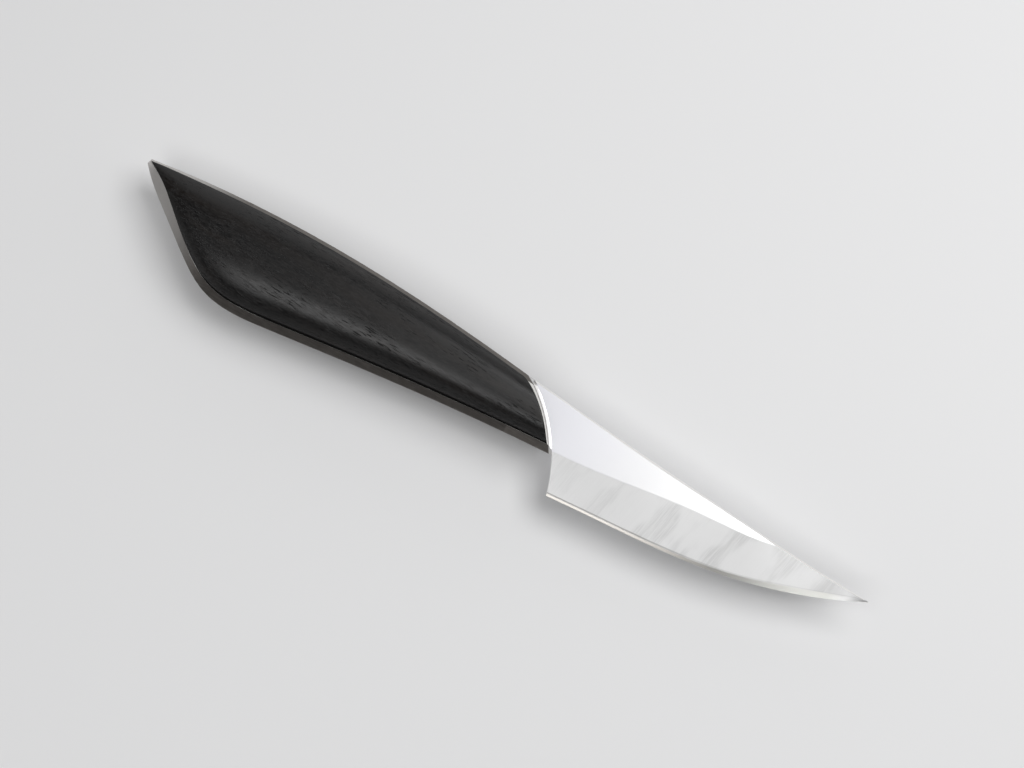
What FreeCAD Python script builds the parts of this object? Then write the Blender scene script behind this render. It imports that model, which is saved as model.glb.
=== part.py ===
"""Fixed-blade boning knife with a full tang and ebony handle scales.

Frame: +X from the butt towards the tip, +Y from the cutting edge towards the spine, +Z up through
the knife as it lies on its left side. The origin is the middle of the footprint, on the surface.
All sizes are millimetres.
"""
import FreeCAD
import Part
import math
import os

from FreeCAD import Placement, Rotation, Vector

DOC = FreeCAD.newDocument("boning_knife")

# Driving dimensions --------------------------------------------------------------------------

SIZES = {
    "tang_thickness": 3.5,
    "rim_land": 0.4,
    "blade_thickness": 2.5,
    "edge_thickness": 0.12,
    "micro_bevel_thickness": 0.5,
    "spine_easing_width": 0.5,
    "spine_easing_slope": 0.6,
    "shoulder_radius": 40.7,
    "shoulder_width": 1.3,
    "liner_thickness": 0.5,
    "scale_height": 6.5,
    "scale_wall": 1.2,
    "scale_front_radius": 39.1,
    "pin_radius": 1.5,
    "pin_depth": 2.5,
}


def make_sheet():
    sheet = DOC.addObject("Spreadsheet::Sheet", "sizes")
    for row, (alias, value) in enumerate(SIZES.items(), start=1):
        sheet.set("A%d" % row, alias.replace("_", " "))
        sheet.set("B%d" % row, str(value))
        sheet.setAlias("B%d" % row, alias)
    DOC.recompute()
    return sheet


SHEET = make_sheet()


def size(alias):
    return float(getattr(SHEET, alias))


# The blade and tang lie about one level middle plane, held above the surface by the left scale.
MIDDLE_RULE = "sizes.tang_thickness / 2 + sizes.liner_thickness + sizes.scale_height"
MIDDLE = size("tang_thickness") / 2 + size("liner_thickness") + size("scale_height")

# The shoulder is one arc, which runs on below the handle as the hollow back of the heel.
SHOULDER_CENTRE = Vector(-13.8, -23.25, 0)
SCALE_FRONT_CENTRE = Vector(-12.0, -24.9, 0)

# Outlines of the handle, each a spine curve and a belly curve that takes in the slanting butt: the
# rim at the middle plane, and the flat face that the scales cover. The steel slopes between them.
RIM_SPINE = [(-102.4, 8.6), (-70.0, 12.7), (-38.0, 13.75), (-8.0, 12.6), (13.0, 11.0)]
RIM_BELLY = [
    (-102.7, 7.2),
    (-97.2, 2.5),
    (-91.6, -1.35),
    (-80.4, -8.9),
    (-72.6, -12.7),
    (-65.0, -13.65),
    (-54.5, -12.5),
    (-38.0, -9.8),
    (-8.0, -5.35),
    (26.0, -1.6),
]
FACE_SPINE = [(-101.4, 7.75), (-70.0, 11.2), (-38.0, 12.25), (-8.0, 11.1), (13.0, 9.5)]
FACE_BELLY = [
    (-101.5, 7.5),
    (-97.2, 5.4),
    (-91.7, 1.6),
    (-85.6, -3.1),
    (-80.2, -7.0),
    (-75.8, -9.5),
    (-70.5, -11.3),
    (-64.5, -11.85),
    (-54.5, -10.8),
    (-38.0, -8.15),
    (-8.0, -3.8),
    (26.0, 0.0),
]

# Blade outline: spine and cutting edge, each from inside the handle to the tip.
BLADE_SPINE = [(6.0, 11.4), (26.0, 10.2), (50.0, 9.0), (78.0, 7.85), (102.6, 7.7)]
BLADE_EDGE = [(8.0, -14.1), (42.0, -9.3), (66.0, -6.0), (82.0, -1.7), (93.0, 2.7), (102.6, 7.7)]

# The bevel's top line starts at the heel and rises straight until it meets the spine. From there
# to the tip the bevel takes in the whole blade and gets steeper, so that the steel thins out.
BEVEL_START = (21.0, -1.35)
BEVEL_RISE = 0.154
BEVEL_STATIONS = [4.0, 24.0, 44.0, 62.0, 76.0]
TIP_STATIONS = [(85.0, 0.112), (92.0, 0.14), (98.0, 0.19), (104.0, 0.25)]

# Width of the micro-bevel along X. It broadens where the cutting edge curves up to the tip.
MICRO_BEVEL = [
    (4.0, 0.55),
    (44.0, 0.55),
    (62.0, 0.7),
    (76.0, 1.1),
    (85.0, 1.5),
    (92.0, 1.5),
    (98.0, 1.1),
    (104.0, 0.5),
]

# Share of the full width of the spine's easing, along X.
EASING_STATIONS = [
    (4.0, 1.0),
    (30.0, 1.0),
    (55.0, 1.0),
    (77.0, 1.0),
    (88.0, 1.0),
    (96.0, 0.7),
    (101.5, 0.05),
]

# Cross-sections of the scale, each on a slant from belly to spine: place of its two ends along X,
# crown height as a share of the full height, where the crown lies from belly (0) to spine (1), and
# the power that turns a flat arch (1) into a round one (0.5).
SECTIONS = [
    (-101.3, -84.0, 0.36, 0.46, 0.95),
    (-95.0, -73.5, 0.62, 0.46, 0.95),
    (-86.0, -66.0, 0.79, 0.45, 0.9),
    (-75.0, -55.0, 0.9, 0.44, 0.85),
    (-58.0, -38.0, 0.98, 0.44, 0.75),
    (-40.0, -21.0, 1.0, 0.45, 0.7),
    (-22.0, -4.0, 0.96, 0.47, 0.66),
    (-6.0, 11.0, 0.88, 0.5, 0.63),
    (9.0, 26.0, 0.78, 0.52, 0.6),
]
ACROSS = [1.0, 0.96, 0.87, 0.75, 0.6, 0.45, 0.3, 0.16, 0.05, 0.0]

PINS = {"rear_pin": (-72.0, 0.0), "middle_pin": (-38.0, 2.0), "front_pin": (-4.0, 3.6)}


def bind(thing, prop, rule):
    thing.setExpression(prop, rule)


def place(thing, at, rotation=None):
    thing.Placement = Placement(at, rotation or Rotation())


def add(kind, name, **props):
    thing = DOC.addObject(kind, name)
    for prop, value in props.items():
        setattr(thing, prop, value)
    return thing


def cylinder(name, centre, radius_rule, height_rule, bottom_rule):
    """Upright cylinder bound to the sheet."""
    thing = add("Part::Cylinder", name)
    place(thing, Vector(centre[0], centre[1], 0))
    bind(thing, "Radius", radius_rule)
    bind(thing, "Height", height_rule)
    bind(thing, "Placement.Base.z", bottom_rule)
    return thing


def mirrored(name, source):
    """The same piece on the other side of the middle plane."""
    twin = add("Part::Mirroring", name, Source=source, Normal=Vector(0, 0, 1))
    twin.Base = Vector(0, 0, MIDDLE)
    return twin


def spline(points):
    curve = Part.BSplineCurve()
    curve.interpolate([Vector(x, y, 0) for x, y in points])
    return curve


def at_x(curve, x):
    """Point of a curve that runs along X, at one place along X."""
    low, high = curve.FirstParameter, curve.LastParameter
    for _ in range(50):
        half = (low + high) / 2
        if curve.value(half).x < x:
            low = half
        else:
            high = half
    return curve.value(low)


def between(pairs, x):
    """Value at x on straight lines between (place, value) pairs."""
    for low, high in zip(pairs, pairs[1:]):
        if x <= high[0]:
            break
    return low[1] + (high[1] - low[1]) * (x - low[0]) / (high[0] - low[0])


# Tang ------------------------------------------------------------------------------------------


def handle_outline(name, spine_points, belly_points):
    """Closed level sketch of a handle outline, with a short blunt nose and an open-ended front."""
    spine, belly = spline(spine_points), spline(belly_points)
    sketch = add("Sketcher::SketchObject", name)
    sketch.addGeometry(spine)
    sketch.addGeometry(Part.LineSegment(spine.EndPoint, belly.EndPoint))
    sketch.addGeometry(belly)
    sketch.addGeometry(Part.LineSegment(belly.StartPoint, spine.StartPoint))
    return sketch


def make_tang():
    """Flat bar of the handle's outline, its sides sloping from both faces out to a narrow rim."""
    levels = []
    for name, points, rule in (
        ("tang_face_below", (FACE_SPINE, FACE_BELLY), "-sizes.tang_thickness / 2"),
        ("tang_rim_below", (RIM_SPINE, RIM_BELLY), "-sizes.rim_land / 2"),
        ("tang_rim_above", (RIM_SPINE, RIM_BELLY), "sizes.rim_land / 2"),
        ("tang_face_above", (FACE_SPINE, FACE_BELLY), "sizes.tang_thickness / 2"),
    ):
        level = handle_outline(name, *points)
        bind(level, "Placement.Base.z", MIDDLE_RULE + " + " + rule)
        levels.append(level)
    return add("Part::Loft", "tang", Sections=levels, Solid=True, Ruled=True)


def front_stock(name):
    """Stock around the front of the handle, which the front arcs are cut out of."""
    stock = add("Part::Box", name, Length=60, Width=60, Height=40)
    place(stock, Vector(-8, -22, 0))
    return stock


def make_shoulder():
    """What is ground away in front of the tang: all that lies past a disc with a coved rim."""
    outer = size("shoulder_radius") + 0.4
    inner = outer - size("shoulder_width")
    high = size("tang_thickness") / 2
    low = size("blade_thickness") / 2 - 0.05
    run, drop = outer - inner, high - low
    cove = (run * run + drop * drop) / (2 * drop)
    sine = math.sin(math.asin(run / cove) / 2)
    halfway = Vector(outer - cove * sine, low + cove - cove * math.sqrt(1 - sine ** 2), 0)
    sketch = add("Sketcher::SketchObject", "shoulder_profile")
    place(sketch, Vector(0, 0, 0), Rotation(Vector(1, 0, 0), 90))
    corners = [(0, -high), (inner, -high), (outer, -low), (outer, low), (inner, high), (0, high)]
    points = [Vector(x, y, 0) for x, y in corners]
    sketch.addGeometry(Part.LineSegment(points[0], points[1]))
    sketch.addGeometry(Part.Arc(points[1], Vector(halfway.x, -halfway.y, 0), points[2]))
    sketch.addGeometry(Part.LineSegment(points[2], points[3]))
    sketch.addGeometry(Part.Arc(points[3], halfway, points[4]))
    sketch.addGeometry(Part.LineSegment(points[4], points[5]))
    sketch.addGeometry(Part.LineSegment(points[5], points[0]))
    disc = add("Part::Revolution", "shoulder_disc", Source=sketch, Solid=True)
    disc.Axis = Vector(0, 0, 1)
    disc.Angle = 360
    place(disc, SHOULDER_CENTRE)
    bind(disc, "Placement.Base.z", MIDDLE_RULE)
    return add("Part::Cut", "shoulder_waste", Base=front_stock("shoulder_stock"), Tool=disc)


# Blade -----------------------------------------------------------------------------------------


def make_plate():
    """Flat plate with the outline of the blade, before the bevels are ground."""
    body = DOC.addObject("PartDesign::Body", "blade_plate")
    plane = next(part for part in body.Origin.OriginFeatures if part.Role == "XY_Plane")
    sketch = body.newObject("Sketcher::SketchObject", "blade_outline")
    sketch.AttachmentSupport = [(plane, "")]
    sketch.MapMode = "FlatFace"
    spine, edge = spline(BLADE_SPINE), spline(BLADE_EDGE)
    sketch.addGeometry(spine)
    sketch.addGeometry(edge)
    sketch.addGeometry(Part.LineSegment(edge.StartPoint, spine.StartPoint))
    pad = body.newObject("PartDesign::Pad", "plate_pad")
    pad.Profile = sketch
    pad.Midplane = True
    bind(pad, "Length", "sizes.blade_thickness")
    bind(body, "Placement.Base.z", MIDDLE_RULE)
    return body


def bevel_slope(x, edge):
    """Slope that brings the bevel from the micro-bevel up to its straight top line."""
    crest = BEVEL_START[1] + BEVEL_RISE * (x - BEVEL_START[0])
    height = (size("blade_thickness") - size("micro_bevel_thickness")) / 2
    return height / (crest - edge - between(MICRO_BEVEL, x))


def cutter_section(name, x, corners):
    """Closed upright outline across the blade at one station."""
    points = [Vector(y, z, 0) for y, z in corners]
    sketch = add("Sketcher::SketchObject", name)
    place(sketch, Vector(x, 0, MIDDLE), Rotation(Vector(0, 1, 0), Vector(0, 0, 1), Vector(), "XYZ"))
    for start, end in zip(points, points[1:] + points[:1]):
        sketch.addGeometry(Part.LineSegment(start, end))
    return sketch


def make_bevel(stations):
    """What grinding takes off the right side: the bevel, the micro-bevel and the open air above."""
    fine, coarse = size("edge_thickness") / 2, size("micro_bevel_thickness") / 2
    inward, outward, high = 13, 1, 8
    sections = []
    for x, edge, slope in stations:
        width = between(MICRO_BEVEL, x)
        steep = (coarse - fine) / width
        corners = [
            (edge + inward, coarse + slope * (inward - width)),
            (edge + width, coarse),
            (edge - outward, fine - steep * outward),
            (edge - outward, high),
            (edge + inward, high),
        ]
        sections.append(cutter_section("bevel_section_%d" % (len(sections) + 1), x, corners))
    return add("Part::Loft", "right_bevel", Sections=sections, Solid=True, Ruled=False)


def make_easing(edge_line, bevel_slopes):
    """What is rubbed off the right corner of the spine: a fine slope that runs out at the tip."""
    slope = size("spine_easing_slope")
    spine_line = spline(BLADE_SPINE)
    overlap, high = 1, 8
    sections = []
    for x, share in EASING_STATIONS:
        spine, edge = at_x(spine_line, x).y, at_x(edge_line, x).y
        inner = spine - size("spine_easing_width") * share
        climb = between(bevel_slopes, x) * (inner - edge - between(MICRO_BEVEL, x))
        level = min(size("blade_thickness"), size("micro_bevel_thickness") + 2 * climb) / 2
        corners = [
            (inner - overlap, level + slope * overlap),
            (spine + overlap, level - slope * (spine + overlap - inner)),
            (spine + overlap, high),
            (inner - overlap, high),
        ]
        sections.append(cutter_section("easing_section_%d" % (len(sections) + 1), x, corners))
    return add("Part::Loft", "right_easing", Sections=sections, Solid=True, Ruled=False)


def make_ground_blade():
    """Plate with both bevels ground, the spine eased and the heel hollowed."""
    edge_line = spline(BLADE_EDGE)
    tip = BLADE_EDGE[-1][0]
    slopes = [(x, bevel_slope(x, at_x(edge_line, x).y)) for x in BEVEL_STATIONS] + TIP_STATIONS
    stations = [(x, at_x(edge_line, min(x, tip)).y, slope) for x, slope in slopes]
    right = [make_bevel(stations), make_easing(edge_line, slopes)]
    left = [mirrored(tool.Name.replace("right", "left"), tool) for tool in right]
    heel = cylinder("heel_hollow", SHOULDER_CENTRE, "sizes.shoulder_radius", "40 mm", "-10 mm")
    waste = add("Part::Compound", "ground_waste", Links=right + left + [heel])
    return add("Part::Cut", "ground_blade", Base=make_plate(), Tool=waste)


# Handle ----------------------------------------------------------------------------------------


def crown_height(across, crown, power):
    """Share of the crown's rise at a place across the section."""
    reach = crown if across < crown else 1 - crown
    away = min(1.0, abs(across - crown) / reach)
    return (1 - away ** 3) ** power


def scale_section(number, spine_curve, belly_curve, row):
    """Upright section from belly to spine: low side walls under a lopsided crown."""
    spine_x, belly_x, share, crown, power = row
    belly, spine = at_x(belly_curve, belly_x), at_x(spine_curve, spine_x)
    width = (spine - belly).Length
    wall = size("liner_thickness") + size("scale_wall")
    rise = size("scale_height") * share - size("scale_wall")
    top = [Vector(v * width, wall + rise * crown_height(v, crown, power), 0) for v in ACROSS]
    crown_line = Part.BSplineCurve()
    crown_line.interpolate(top)
    sketch = add("Sketcher::SketchObject", "scale_section_%d" % number)
    foot = belly + Vector(0, 0, MIDDLE + size("tang_thickness") / 2)
    place(sketch, foot, Rotation((spine - belly).normalize(), Vector(0, 0, 1), Vector(), "XYZ"))
    sketch.addGeometry(Part.LineSegment(Vector(0, 0, 0), Vector(width, 0, 0)))
    sketch.addGeometry(Part.LineSegment(Vector(width, 0, 0), top[0]))
    sketch.addGeometry(crown_line)
    sketch.addGeometry(Part.LineSegment(top[-1], Vector(0, 0, 0)))
    return sketch


def make_handle_block():
    """Liner and scale of the right side in one block, trimmed to the tang's face and front arc."""
    spine_curve, belly_curve = spline(FACE_SPINE), spline(FACE_BELLY)
    rows = enumerate(SECTIONS, start=1)
    sections = [scale_section(number, spine_curve, belly_curve, row) for number, row in rows]
    crowned = add("Part::Loft", "crowned_block", Sections=sections, Solid=True, Ruled=False)
    outline = handle_outline("scale_outline", FACE_SPINE, FACE_BELLY)
    column = add("Part::Extrusion", "scale_column", Base=outline, Solid=True)
    column.DirMode = "Custom"
    column.Dir = Vector(0, 0, 1)
    column.LengthFwd = 40
    trimmed = add("Part::Common", "trimmed_block", Base=crowned, Tool=column)
    front = cylinder("scale_front", SCALE_FRONT_CENTRE, "sizes.scale_front_radius", "40 mm", "0 mm")
    stock = front_stock("scale_stock")
    waste = add("Part::Cut", "scale_waste", Base=stock, Tool=front)
    return add("Part::Cut", "handle_block", Base=trimmed, Tool=waste)


def make_liner_slab():
    slab = add("Part::Box", "liner_slab", Length=220, Width=80)
    place(slab, Vector(-110, -40, 0))
    bind(slab, "Height", "sizes.liner_thickness")
    bind(slab, "Placement.Base.z", MIDDLE_RULE + " + sizes.tang_thickness / 2")
    return slab


def make_pins():
    """Hidden dowels through tang and liners, with their ends blind in both scales."""
    pins = []
    for name, centre in PINS.items():
        reach = "(sizes.tang_thickness / 2 + sizes.liner_thickness + sizes.pin_depth)"
        pin = cylinder(name, centre, "sizes.pin_radius", "2 * " + reach, MIDDLE_RULE + " - " + reach)
        pins.append(pin)
    return pins


def bored(name, base, pins):
    """A piece with the holes that the pins fill."""
    holes = add("Part::Compound", name + "_holes", Links=pins)
    return add("Part::Cut", name, Base=base, Tool=holes)


def make_steel(pins):
    """Blade and tang in one piece of steel."""
    stepped = add("Part::Cut", "stepped_tang", Base=make_tang(), Tool=make_shoulder())
    steel = add("Part::Fuse", "steel", Base=stepped, Tool=make_ground_blade())
    return bored("blade", steel, pins)


def make_handle(pins):
    """Right liner and scale cut from one block, and their twins on the left."""
    block = make_handle_block()
    slab = make_liner_slab()
    sheet = add("Part::Common", "liner_sheet", Base=block, Tool=slab)
    slice_above = add("Part::Cut", "scale_slice", Base=block, Tool=slab)
    right_liner = bored("right_liner", sheet, pins)
    right_scale = bored("right_scale", slice_above, pins)
    left_liner = mirrored("left_liner", right_liner)
    left_scale = mirrored("left_scale", right_scale)
    return [right_liner, right_scale, left_liner, left_scale]


def check(things):
    for thing in DOC.Objects:
        for fault in ("Invalid", "Error"):
            if fault in thing.State:
                raise RuntimeError("%s did not build" % thing.Name)
    for thing in things:
        if thing.Shape.isNull() or not thing.Shape.isValid() or len(thing.Shape.Solids) != 1:
            raise RuntimeError("%s is not one valid solid" % thing.Label)


def main():
    pins = make_pins()
    pieces = [make_steel(pins)] + make_handle(pins) + pins
    DOC.recompute()
    check(pieces)
    os.makedirs("parts", exist_ok=True)
    for piece in pieces:
        box = piece.Shape.optimalBoundingBox()
        spans = [box.XMin, box.XMax, box.YMin, box.YMax, box.ZMin, box.ZMax]
        print(piece.Label, "%.0f mm3" % piece.Shape.Volume, ["%.2f" % span for span in spans])
        piece.Shape.exportStep("parts/%s.step" % piece.Label)


main()
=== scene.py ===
"""Looks of the boning knife: a steel blade and full tang between two ebony scales on fibre liners."""
import math

import bmesh
import bpy
from mathutils import Matrix, Vector


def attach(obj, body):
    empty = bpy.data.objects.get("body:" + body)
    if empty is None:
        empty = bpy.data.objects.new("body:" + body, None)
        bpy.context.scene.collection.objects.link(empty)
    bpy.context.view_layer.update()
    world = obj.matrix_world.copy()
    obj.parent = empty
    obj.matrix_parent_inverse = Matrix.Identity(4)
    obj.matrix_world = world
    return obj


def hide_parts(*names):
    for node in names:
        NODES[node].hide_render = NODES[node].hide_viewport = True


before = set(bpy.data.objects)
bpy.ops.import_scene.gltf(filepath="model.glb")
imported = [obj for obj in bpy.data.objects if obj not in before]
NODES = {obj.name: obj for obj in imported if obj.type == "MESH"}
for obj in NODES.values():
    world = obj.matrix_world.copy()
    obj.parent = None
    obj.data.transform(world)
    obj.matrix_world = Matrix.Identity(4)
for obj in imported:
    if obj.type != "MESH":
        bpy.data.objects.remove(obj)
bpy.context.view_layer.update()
MM = 0.001

# All sizes are in millimetres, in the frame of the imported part. First the height of the steel's middle
# plane, and how far from it lie the tang's faces, the blade's flats and the top of its fine bevel.
MIDDLE = 8.75
TANG_FACE = 1.75
BLADE_FACE = 1.25
FINE_BEVEL_FACE = 0.25

# Thickness of a liner, and the strip of it that shows along the handle's belly.
LINER = 0.5
LEDGE = 0.5

# A scale's height above its liner, the upright wall at its foot, and the radius of its rounded rims.
SCALE_HEIGHT = 6.5
SCALE_WALL = 1.2
SCALE_RIM = 0.45
WALL_TOP = TANG_FACE + LINER + SCALE_WALL

# A scale's rough length and depth, which only space out the points of its mesh.
SCALE_LENGTH = 118
SCALE_DEPTH = 23

# Arcs in plan: the front end of the scales, and the hollow shoulder that divides blade and handle.
FRONT_CENTRE = Vector((-12.0, -24.9))
FRONT_RADIUS = 39.1
SHOULDER_CENTRE = Vector((-13.8, -23.25))
SHOULDER_RADIUS = 40.0

# The camera's direction, which the lights share, and the height of the overhead lights.
CAMERA_AZIMUTH = 32.25
CEILING = 750.0

# Outline of a scale's foot from the nose at the butt to the front: its spine, and its butt and belly.
SPINE = [(-101.4, 7.75), (-70.0, 11.2), (-38.0, 12.25), (-8.0, 11.1), (13.0, 9.5)]
BELLY = [
    (-101.5, 7.5),
    (-97.2, 5.4),
    (-91.7, 1.6),
    (-85.6, -3.1),
    (-80.2, -7.0),
    (-75.8, -9.5),
    (-70.5, -11.3),
    (-64.5, -11.85),
    (-54.5, -10.8),
    (-38.0, -8.15),
    (-8.0, -3.8),
    (26.0, 0.0),
]

# Slanted cross-sections of a scale: where its ends lie along X on the spine and on the belly, crown
# height as a share, the crown's place from belly (0) to spine (1), and the roundness of the arch.
SECTIONS = [
    (-101.3, -84.0, 0.36, 0.46, 0.95),
    (-95.0, -73.5, 0.62, 0.46, 0.95),
    (-86.0, -66.0, 0.79, 0.45, 0.9),
    (-75.0, -55.0, 0.9, 0.44, 0.85),
    (-58.0, -38.0, 0.98, 0.44, 0.75),
    (-40.0, -21.0, 1.0, 0.45, 0.7),
    (-22.0, -4.0, 0.96, 0.47, 0.66),
    (-6.0, 11.0, 0.88, 0.5, 0.63),
    (9.0, 26.0, 0.78, 0.52, 0.6),
]


def millimetres(point):
    return Vector(point) * MM


# Camera and surroundings ------------------------------------------------------------------------


def make_camera(target, distance, azimuth, elevation, lens):
    """Camera at a distance from the target, looking along an azimuth and down by an elevation."""
    a, e = math.radians(azimuth), math.radians(elevation)
    away = Vector((math.sin(a) * math.cos(e), -math.cos(a) * math.cos(e), math.sin(e)))
    data = bpy.data.cameras.new("camera")
    data.lens = lens
    data.sensor_width = 36
    data.clip_start = 0.01
    camera = bpy.data.objects.new("camera", data)
    camera.location = millimetres(target) + away * distance * MM
    camera.rotation_euler = (-away).to_track_quat("-Z", "Y").to_euler()
    bpy.context.scene.collection.objects.link(camera)
    bpy.context.scene.camera = camera


def make_light(name, place, width, depth, power):
    """Soft rectangular light facing the floor below it, or the knife if it stands at one side.

    Its place is measured along the camera's frame, across it, and up, in millimetres.
    """
    data = bpy.data.lights.new(name, "AREA")
    data.shape = "RECTANGLE"
    data.size = width * MM
    data.size_y = depth * MM
    data.energy = power
    light = bpy.data.objects.new(name, data)
    along, across, height = place
    turn = Matrix.Rotation(math.radians(CAMERA_AZIMUTH), 3, "Z")
    light.location = millimetres(turn @ Vector(place))
    if height < CEILING:
        light.rotation_euler = (turn @ Vector((-along, -across, 0))).to_track_quat("-Z", "Y").to_euler()
    else:
        light.rotation_euler = turn.to_euler()
    bpy.context.scene.collection.objects.link(light)


def make_world(colour, strength):
    world = bpy.data.worlds.new("world")
    world.use_nodes = True
    background = world.node_tree.nodes["Background"]
    background.inputs["Color"].default_value = (*colour, 1)
    background.inputs["Strength"].default_value = strength
    bpy.context.scene.world = world


def make_floor(material):
    """Floor six metres square."""
    mesh = bpy.data.meshes.new("floor")
    side = 3.0
    corners = [(-side, -side, 0), (side, -side, 0), (side, side, 0), (-side, side, 0)]
    mesh.from_pydata(corners, [], [(0, 1, 2, 3)])
    floor = bpy.data.objects.new("floor", mesh)
    floor.data.materials.append(material)
    bpy.context.scene.collection.objects.link(floor)


# Scales ----------------------------------------------------------------------------------------


class Curve:
    """Smooth line of numbers or points: a cubic that passes through each knot."""

    def __init__(self, knots, values):
        self.knots, self.values = knots, values
        count = len(knots)
        spans = [b - a for a, b in zip(knots, knots[1:])]
        rises = [(b - a) * (1 / h) for a, b, h in zip(values, values[1:], spans)]
        zero = values[0] * 0
        lead, bends = [0.0], [zero]
        for i in range(1, count - 1):
            weight = 2 * (spans[i - 1] + spans[i]) - spans[i - 1] * lead[-1]
            bends.append(((rises[i] - rises[i - 1]) * 6 - bends[-1] * spans[i - 1]) * (1 / weight))
            lead.append(spans[i] / weight)
        curve = [zero] * count
        for i in range(count - 2, 0, -1):
            curve[i] = bends[i] - curve[i + 1] * lead[i]
        self.curve = curve

    def at(self, t):
        i = 0
        while i < len(self.knots) - 2 and t > self.knots[i + 1]:
            i += 1
        h = self.knots[i + 1] - self.knots[i]
        a, b = (self.knots[i + 1] - t) / h, (t - self.knots[i]) / h
        value = self.values[i] * a + self.values[i + 1] * b
        bend = self.curve[i] * (a ** 3 - a) + self.curve[i + 1] * (b ** 3 - b)
        return value + bend * (h * h / 6)


def outline(points):
    """Curve through flat points, measured by the distance from point to point."""
    places = [Vector(point) for point in points]
    knots = [0.0]
    for a, b in zip(places, places[1:]):
        knots.append(knots[-1] + (b - a).length)
    return Curve(knots, places)


def at_x(line, x):
    """Point of an outline at one place along X."""
    low, high = line.knots[0], line.knots[-1]
    for _ in range(40):
        half = (low + high) / 2
        if line.at(half).x < x:
            low = half
        else:
            high = half
    return line.at(low)


class ScaleShape:
    """Plan and crown of a scale, by the place t along its sections and v from belly to spine."""

    STEP = 0.02
    BUTT_SPANS = 60
    BUTT_REACH = 1.5

    def __init__(self):
        rows = range(len(SECTIONS))
        spine, belly = outline(SPINE), outline(BELLY)
        spine_x, belly_x, self.share, self.crown, self.power = (
            Curve(rows, [row[i] for row in SECTIONS]) for i in range(5)
        )
        self.last = len(SECTIONS) - 1
        count = round(self.last / self.STEP)
        places = [self.last * i / count for i in range(count + 1)]
        self.ends = [(at_x(belly, belly_x.at(t)), at_x(spine, spine_x.at(t))) for t in places]
        corner = 0.0
        while belly.at(corner).x < self.ends[0][0].x:
            corner += 0.05
        self.butt = [belly.at(corner * (1 - i / self.BUTT_SPANS)) for i in range(self.BUTT_SPANS + 1)]

    def section(self, t):
        """Belly and spine ends of the straight section at t."""
        i = min(int(t / self.STEP), len(self.ends) - 2)
        share = t / self.STEP - i
        return tuple(a.lerp(b, share) for a, b in zip(self.ends[i], self.ends[i + 1]))

    def spot(self, t, v):
        """Place in plan. The first sections bend to follow the curve of the butt."""
        belly, spine = self.section(t)
        straight = belly.lerp(spine, v)
        place = v * self.BUTT_SPANS
        i = min(int(place), self.BUTT_SPANS - 1)
        curved = self.butt[i].lerp(self.butt[i + 1], place - i)
        first_belly, first_spine = self.ends[0]
        bend = curved - first_belly.lerp(first_spine, v)
        return straight + bend * max(0.0, 1 - t / self.BUTT_REACH) ** 2

    def level(self, spot):
        """Height of the crown above the tang's face at a place in plan."""
        low, high = 0, len(self.ends) - 1
        while high - low > 1:
            half = (low + high) // 2
            belly, spine = self.ends[half]
            if (spine - belly).cross(spot - belly) < 0:
                low = half
            else:
                high = half
        offsets = []
        for belly, spine in (self.ends[low], self.ends[high]):
            offsets.append(abs((spine - belly).cross(spot - belly)) / (spine - belly).length)
        share = offsets[0] / max(offsets[0] + offsets[1], 1e-9)
        t = (low + share) * self.STEP
        belly, spine = self.section(t)
        v = (spot - belly).dot(spine - belly) / (spine - belly).length_squared
        crown = self.crown.at(t)
        reach = crown if v < crown else 1 - crown
        away = min(1.0, abs(v - crown) / reach)
        rise = SCALE_HEIGHT * self.share.at(t) - SCALE_WALL
        return LINER + SCALE_WALL + rise * (1 - away ** 3) ** self.power.at(t)


def spaced(length, near, count):
    """Places from 0 to 1: close together at both ends, at set distances, and even between."""
    start = [d / length for d in near]
    middle = [start[-1] + (1 - 2 * start[-1]) * i / count for i in range(1, count)]
    return start + middle + [1 - d for d in reversed(start)]


def rounded_drop(distance, radius):
    """How far a rounded rim lies below the sharp one, at a distance from the wall."""
    if distance >= radius:
        return 0.0
    return radius - math.sqrt(radius ** 2 - (radius - distance) ** 2)


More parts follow.
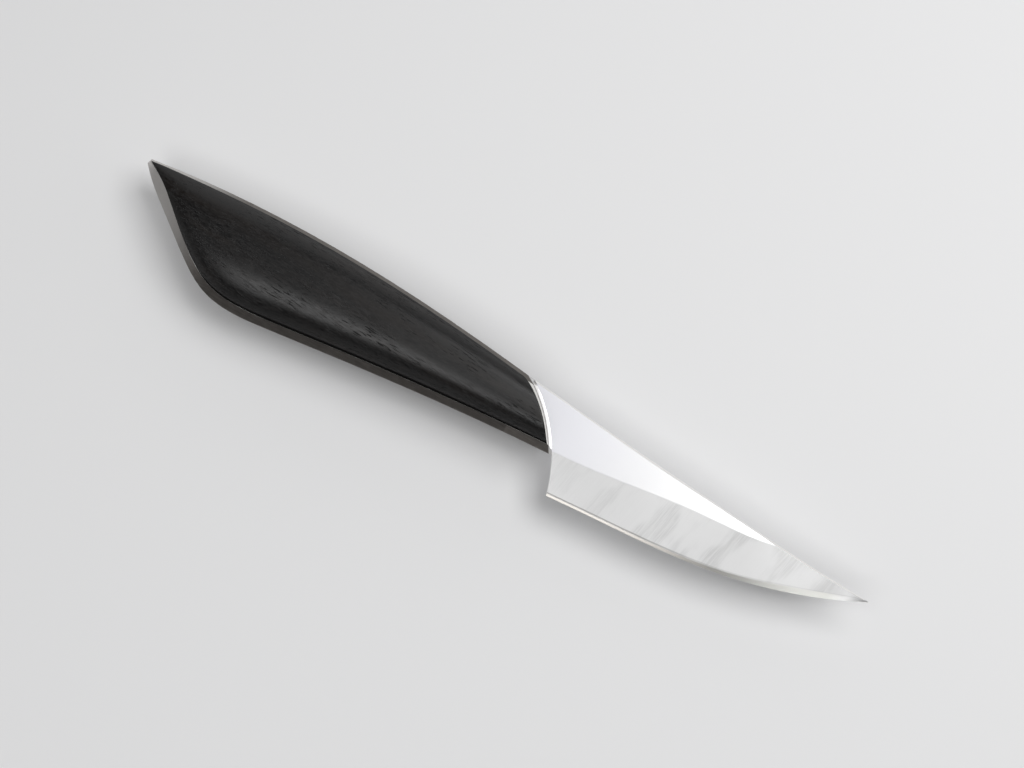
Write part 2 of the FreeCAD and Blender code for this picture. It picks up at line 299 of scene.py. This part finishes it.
def scale_mesh(name, side):
    """Solid scale with a crowned top and rounded rims. Side is 1 for the right and -1 for the left."""
    shape = ScaleShape()
    near = [0.0, 0.03, 0.1, 0.2, 0.32, 0.45, 0.65, 0.95]
    along, across = spaced(SCALE_LENGTH, near, 190), spaced(SCALE_DEPTH, near, 56)
    butt_inset = 0.04

    def before_front(t, v):
        """Distance left to the arc of the front end."""
        return FRONT_RADIUS - (shape.spot(t, v) - FRONT_CENTRE).length

    # Last place along the sections, where each line of the mesh meets the front end.
    limits = []
    for v in across:
        low, high = shape.last - 3.0, float(shape.last)
        for _ in range(30):
            half = (low + high) / 2
            if before_front(half, v) > 0:
                low = half
            else:
                high = half
        limits.append(low)
    bm = bmesh.new()
    grid = []
    for u in along:
        row = []
        for v, limit in zip(across, limits):
            belly, spine = shape.section(limit * u)
            width = (spine - belly).length
            inset = LEDGE / width * (1 - v)
            t = limit * u + butt_inset * (1 - u)
            spot = shape.spot(t, v + inset)
            distances = [v * width, (1 - v) * width, u * SCALE_LENGTH, (1 - u) * SCALE_LENGTH]
            drop = rounded_drop(min(distances), SCALE_RIM)
            level = MIDDLE + side * (TANG_FACE + shape.level(spot) - drop)
            row.append(bm.verts.new((spot.x * MM, spot.y * MM, level * MM)))
        grid.append(row)
    count = len(across)
    for a, b in zip(grid, grid[1:]):
        for j in range(count - 1):
            bm.faces.new((a[j], b[j], b[j + 1], a[j + 1]))

    # The wall goes down from the edge of the top in three bands, and one face closes the foot.
    edge = grid[0] + [row[-1] for row in grid[1:]] + grid[-1][-2::-1] + [row[0] for row in grid[-2:0:-1]]
    foot = MIDDLE + side * (TANG_FACE + LINER)
    upper = edge
    for share in (0.25, 0.6, 1.0):
        lower = []
        for vertex in edge:
            z = vertex.co.z + (foot * MM - vertex.co.z) * share
            lower.append(bm.verts.new((vertex.co.x, vertex.co.y, z)))
        for i in range(len(edge)):
            j = (i + 1) % len(edge)
            bm.faces.new((upper[i], upper[j], lower[j], lower[i]))
        upper = lower
    bm.faces.new(upper)
    bmesh.ops.recalc_face_normals(bm, faces=bm.faces)
    mesh = bpy.data.meshes.new(name)
    bm.to_mesh(mesh)
    bm.free()
    mesh.shade_smooth()
    mesh.set_sharp_from_angle(angle=math.radians(50))
    return mesh


def make_scale(node, side, material):
    name = node.replace("_scale", "_ebony_scale")
    scale = bpy.data.objects.new(name, scale_mesh(name, side))
    bpy.context.scene.collection.objects.link(scale)
    scale.data.materials.append(material)
    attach(scale, "root")
    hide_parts(node)


# Material helper -------------------------------------------------------------------------------


class Nodes:
    """Short way to write a material's nodes: each call returns the new node's output socket."""

    def __init__(self, name):
        self.material = bpy.data.materials.new(name)
        self.material.use_nodes = True
        self.tree = self.material.node_tree
        self.shader = self.tree.nodes["Principled BSDF"]

    def put(self, socket, value):
        if isinstance(value, bpy.types.NodeSocket):
            self.tree.links.new(value, socket)
        else:
            socket.default_value = value

    def node(self, kind, values=(), **settings):
        node = self.tree.nodes.new(kind)
        for key, value in settings.items():
            setattr(node, key, value)
        for key, value in dict(values).items():
            self.put(node.inputs[key], value)
        return node

    def math(self, operation, a, b=0.0, clamp=False):
        return self.node("ShaderNodeMath", {0: a, 1: b}, operation=operation, use_clamp=clamp).outputs[0]

    def ramp(self, value, low, high, start=0.0, end=1.0):
        """Smooth step of a value from low to high."""
        values = {"Value": value, 1: low, 2: high, 3: start, 4: end}
        return self.node("ShaderNodeMapRange", values, interpolation_type="SMOOTHSTEP").outputs[0]

    def mix(self, share, a, b):
        values = {0: share, 6: a, 7: b}
        return self.node("ShaderNodeMix", values, data_type="RGBA").outputs[2]

    def place(self, scale=(1, 1, 1), turn=0.0):
        """Position on the object in millimetres, stretched by a scale and turned about Z."""
        position = self.node("ShaderNodeTexCoord").outputs["Object"]
        rotation = (0, 0, math.radians(turn))
        turned = self.node("ShaderNodeMapping", {"Vector": position, "Rotation": rotation}).outputs[0]
        stretch = [s / MM for s in scale]
        return self.node("ShaderNodeMapping", {"Vector": turned, "Scale": stretch}).outputs[0]

    def axes(self, where):
        """The three numbers of a position."""
        return self.node("ShaderNodeSeparateXYZ", {0: where}).outputs

    def tilt(self):
        """How level the surface is here: 1 where it faces straight up or down, 0 on an upright wall."""
        normal = self.node("ShaderNodeTexCoord").outputs["Normal"]
        return self.math("ABSOLUTE", self.axes(normal)[2])

    def noise(self, where, scale=1.0, detail=4.0, roughness=0.5):
        values = {"Vector": where, "Scale": scale, "Detail": detail, "Roughness": roughness}
        return self.node("ShaderNodeTexNoise", values).outputs["Fac"]

    def bump(self, height, depth, strength=1.0):
        values = {"Height": height, "Distance": depth * MM, "Strength": strength}
        return self.node("ShaderNodeBump", values).outputs[0]

    def finish(self, **inputs):
        for key, value in inputs.items():
            self.put(self.shader.inputs[key.replace("_", " ")], value)
        return self.material


# Materials -------------------------------------------------------------------------------------


def floor_material():
    n = Nodes("pale_floor")
    return n.finish(Base_Color=(0.805, 0.805, 0.81, 1), Roughness=0.9, Specular_IOR_Level=0.1)


def steel_material():
    """Blade and tang: pale flats, a bevel with soft marks across it, dull sides to the tang, and painted
    light and shade in places.

    Each zone is a mask from 0 to 1, found from the distance to the middle plane or to the shoulder.
    """
    n = Nodes("ground_steel")
    x, y, z = n.axes(n.place())
    level = n.math("ABSOLUTE", n.math("SUBTRACT", z, MIDDLE))
    along = n.math("SUBTRACT", x, SHOULDER_CENTRE.x)
    across = n.math("SUBTRACT", y, SHOULDER_CENTRE.y)
    offset = n.node("ShaderNodeCombineXYZ", {0: along, 1: across}).outputs[0]
    radius = n.node("ShaderNodeVectorMath", {0: offset}, operation="LENGTH").outputs["Value"]
    blade = n.ramp(radius, SHOULDER_RADIUS - 0.2, SHOULDER_RADIUS + 0.1)
    blade = n.math("MULTIPLY", blade, n.math("GREATER_THAN", x, 0.0))
    bevel = n.math("MULTIPLY", blade, n.ramp(level, BLADE_FACE - 0.03, BLADE_FACE - 0.005, 1.0, 0.0))
    fine = n.ramp(level, FINE_BEVEL_FACE - 0.007, FINE_BEVEL_FACE + 0.001, 1.0, 0.0)
    fine = n.math("MULTIPLY", blade, fine)
    # Painted shade: a thin dark line along the crease above the fine bevel, fading towards the tip.
    crease_start = n.ramp(level, FINE_BEVEL_FACE, FINE_BEVEL_FACE + 0.006)
    crease_end = n.ramp(level, FINE_BEVEL_FACE + 0.02, FINE_BEVEL_FACE + 0.05, 1.0, 0.0)
    crease_shade = n.math("MULTIPLY", n.math("MULTIPLY", crease_start, crease_end), blade)

    # Long rubbed lines on the flats, and clusters of short marks ground across the bevel.
    lines = n.noise(n.place((0.2, 5.0, 1.0), -2), detail=5, roughness=0.6)
    cloud = n.noise(n.place((0.17, 0.06, 0.1), 9), detail=2, roughness=0.5)
    hairs = n.noise(n.place((2.4, 0.12, 0.3), 9), detail=5, roughness=0.65)
    towards_tip = n.ramp(x, 24.0, 80.0, 0.25, 1.0)
    bands = n.math("MULTIPLY", n.ramp(cloud, 0.45, 0.6), n.ramp(hairs, 0.35, 0.62, 0.3, 1.0))
    marks = n.math("MULTIPLY", n.math("MULTIPLY", bands, towards_tip), bevel)
    flat = n.mix(n.ramp(x, 18.0, 50.0), (0.84, 0.84, 0.88, 1), (0.78, 0.78, 0.785, 1))
    flat = n.mix(n.math("MULTIPLY", lines, 0.03), flat, (0.4, 0.4, 0.42, 1))
    ground = n.mix(n.ramp(x, 45.0, 85.0), (0.78, 0.78, 0.78, 1), (0.58, 0.58, 0.58, 1))
    ground = n.mix(n.math("MULTIPLY", hairs, 0.12), ground, (0.4, 0.4, 0.4, 1))
    ground = n.mix(n.math("MULTIPLY", marks, 0.55), ground, (0.42, 0.42, 0.42, 1))
    # Painted highlight: towards the tip the bevel and the fine bevel are coloured near-white.
    ground = n.mix(n.ramp(x, 93.0, 99.0), ground, (0.9, 0.9, 0.9, 1))
    honed = n.mix(n.ramp(x, 50.0, 80.0), (0.46, 0.44, 0.41, 1), (0.56, 0.56, 0.535, 1))
    honed = n.mix(n.ramp(x, 93.0, 99.0), honed, (0.9, 0.9, 0.9, 1))
    blade_colour = n.mix(fine, n.mix(bevel, flat, ground), honed)
    crease_shade = n.math("MULTIPLY", crease_shade, n.ramp(x, 45.0, 80.0, 0.6, 0.15))
    blade_colour = n.mix(crease_shade, blade_colour, (0.2, 0.19, 0.18, 1))

    # The eased spine and the hollow of the shoulder get a painted highlight, a near-white colour, and
    # are rubbed softer.
    rubbed_and_painted_highlight = n.math("MULTIPLY", n.ramp(n.tilt(), 0.9, 0.935, 1.0, 0.0), n.math("GREATER_THAN", x, 8.0))
    blade_colour = n.mix(rubbed_and_painted_highlight, blade_colour, (0.95, 0.94, 0.93, 1))

    # The sides of the tang are darker and duller than the blade, as ground steel, and carry painted
    # light and shade as well: painted light makes them lighter at the butt, and painted shade makes them
    # much darker along the belly.
    mottle = n.noise(n.place((0.4, 0.4, 0.4)), detail=6, roughness=0.6)
    side_lines = n.noise(n.place((0.12, 3.0, 3.0)), detail=5)
    wear = n.math("MULTIPLY", mottle, side_lines)
    side = n.mix(n.ramp(x, -95.0, -74.0), (0.6, 0.585, 0.57, 1), (0.125, 0.114, 0.105, 1))
    side = n.mix(n.math("MULTIPLY", wear, 0.6), side, (0.5, 0.47, 0.44, 1))
    slope = n.ramp(level, TANG_FACE - 0.05, TANG_FACE - 0.005, 1.0, 0.0)
    slope = n.math("MULTIPLY", slope, n.math("SUBTRACT", 1.0, blade))
    colour = n.mix(slope, n.mix(blade, (0.8, 0.79, 0.77, 1), blade_colour), side)
    roughness = n.ramp(lines, 0.25, 0.75, 0.28, 0.305)
    roughness = n.math("ADD", roughness, n.math("MULTIPLY", slope, 0.12))
    roughness = n.math("ADD", roughness, n.math("MULTIPLY", rubbed_and_painted_highlight, 0.28))
    relief = n.math("ADD", n.math("MULTIPLY", lines, 0.12), n.math("MULTIPLY", marks, 0.5))
    return n.finish(
        Base_Color=colour,
        Metallic=1.0,
        Roughness=roughness,
        Normal=n.bump(relief, 0.001, 0.15),
    )


def pin_material():
    n = Nodes("drawn_pin_steel")
    rings = n.noise(n.place((1.0, 1.0, 12.0)), detail=5)
    return n.finish(
        Base_Color=(0.6, 0.6, 0.61, 1),
        Metallic=1.0,
        Roughness=n.ramp(rings, 0.3, 0.7, 0.25, 0.45),
        Normal=n.bump(rings, 0.004, 0.4),
    )


def fibre_material():
    n = Nodes("black_fibre")
    mottle = n.noise(n.place((3.0, 3.0, 3.0)), detail=6)
    return n.finish(
        Base_Color=n.mix(mottle, (0.002, 0.002, 0.002, 1), (0.006, 0.0058, 0.0055, 1)),
        Roughness=n.ramp(mottle, 0.3, 0.7, 0.7, 0.9),
        Specular_IOR_Level=0.12,
        Normal=n.bump(mottle, 0.01, 0.4),
    )


def ebony_material():
    """Near-black wood along X: slow brown streaks, fine grain, and short open pores.

    It is blackest in the pores and on the upright wall, whose black is painted shade at the scale's
    foot, and dullest where the surface is steep.
    """
    n = Nodes("oiled_ebony")
    streaks = n.noise(n.place((0.025, 0.35, 0.3)), detail=4, roughness=0.6)
    grain = n.noise(n.place((0.5, 3.4, 3.0)), detail=6, roughness=0.7)
    dashes = n.noise(n.place((0.32, 3.4, 3.2), 2), detail=2, roughness=0.5)
    patches = n.noise(n.place((0.06, 0.16, 0.16)), detail=2)
    pores = n.math("MULTIPLY", n.ramp(dashes, 0.585, 0.64), n.ramp(patches, 0.4, 0.55, 0.15, 1.0))
    level = n.math("ABSOLUTE", n.math("SUBTRACT", n.axes(n.place())[2], MIDDLE))
    steep = n.ramp(n.tilt(), 0.45, 0.85, 1.0, 0.0)
    # Painted shade: the upright wall at the foot of the scale is coloured near-black, like the open
    # pores.
    wall = n.ramp(level, WALL_TOP - 0.4, WALL_TOP + 0.5, 1.0, 0.0)
    heart = n.mix(n.ramp(streaks, 0.42, 0.7), (0.0016, 0.0014, 0.0016, 1), (0.006, 0.0042, 0.0034, 1))
    lined = n.mix(n.ramp(grain, 0.42, 0.72), heart, (0.0085, 0.007, 0.0064, 1))
    colour = n.mix(n.math("MAXIMUM", pores, wall), lined, (0.0006, 0.0005, 0.0005, 1))
    roughness = n.math("ADD", n.ramp(grain, 0.38, 0.62, 0.29, 0.43), n.math("MULTIPLY", pores, 0.4))
    roughness = n.math("ADD", roughness, n.math("MULTIPLY", steep, 0.4), clamp=True)
    relief = n.math("SUBTRACT", n.math("MULTIPLY", grain, 0.5), pores)
    return n.finish(
        Base_Color=colour,
        Roughness=roughness,
        Specular_IOR_Level=0.45,
        Normal=n.bump(relief, 0.045, 0.8),
    )


# Main ------------------------------------------------------------------------------------------


def finish_node(name, material):
    """Gives a CAD node its own procedural material."""
    materials = NODES[name].data.materials
    materials.clear()
    materials.append(material)


def main():
    bpy.context.scene.view_settings.view_transform = "Standard"
    make_camera((3.6, 7.65, 9.0), 514, CAMERA_AZIMUTH, 76, 75)
    make_world((1, 1, 1), 0.02)
    make_light("key_near", (320, 200, CEILING), 320, 800, 2.75)
    make_light("key_far", (640, 180, CEILING), 320, 760, 3.6)
    make_light("middle", (0, 200, CEILING), 320, 800, 0.42)
    make_light("left", (-320, -110, CEILING), 320, 400, 1.35)
    make_light("front", (-270, -490, CEILING), 360, 320, 1.15)
    make_light("corner", (-600, -330, CEILING), 240, 240, 0.6)
    make_light("back_panel", (0, 1000, 350), 1400, 600, 2.0)
    make_light("left_panel", (-1000, 350, 350), 1200, 600, 0.9)
    make_light("right_panel", (1000, 0, 350), 1400, 600, 1.4)
    make_floor(floor_material())
    finish_node("blade", steel_material())
    ebony = ebony_material()
    make_scale("right_scale", 1, ebony)
    make_scale("left_scale", -1, ebony)
    for name in ("right_liner", "left_liner"):
        finish_node(name, fibre_material())
    for name in ("front_pin", "middle_pin", "rear_pin"):
        finish_node(name, pin_material())


main()
